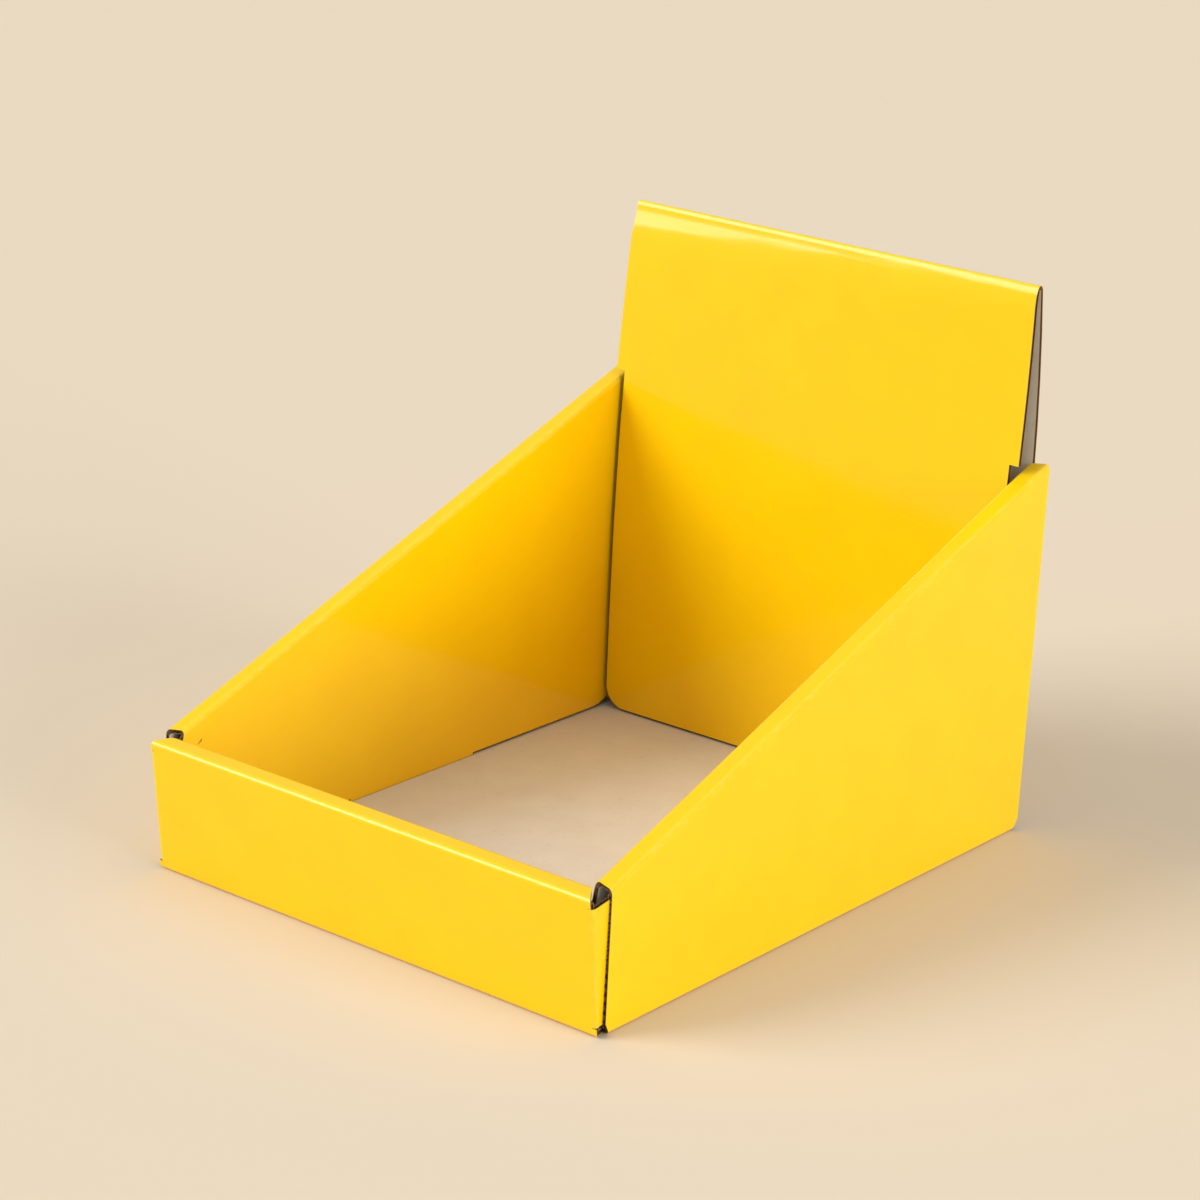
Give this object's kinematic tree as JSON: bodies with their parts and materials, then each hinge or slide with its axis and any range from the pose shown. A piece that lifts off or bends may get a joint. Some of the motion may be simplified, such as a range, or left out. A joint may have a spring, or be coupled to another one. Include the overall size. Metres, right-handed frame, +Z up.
{
  "type": "cardboard display stand",
  "caption": "Folded corrugated counter display tray with sloping hollow side walls, a low hollow front wall and a tall folded header at the back.",
  "frame": {"origin": "centre of the bounding box's underside, on the face that the base rests on", "axes": "+X to the stand's right, +Y to its back where the header stands, +Z up"},
  "size_m": [0.2, 0.2578, 0.2094],
  "materials": {
    "printed_board": "glossy yellow print on the outer side of corrugated board, bare grey-white liner on the inner side"
  },
  "bodies": {
    "root": {"display_stand": "printed_board"}
  },
  "joints": []
}
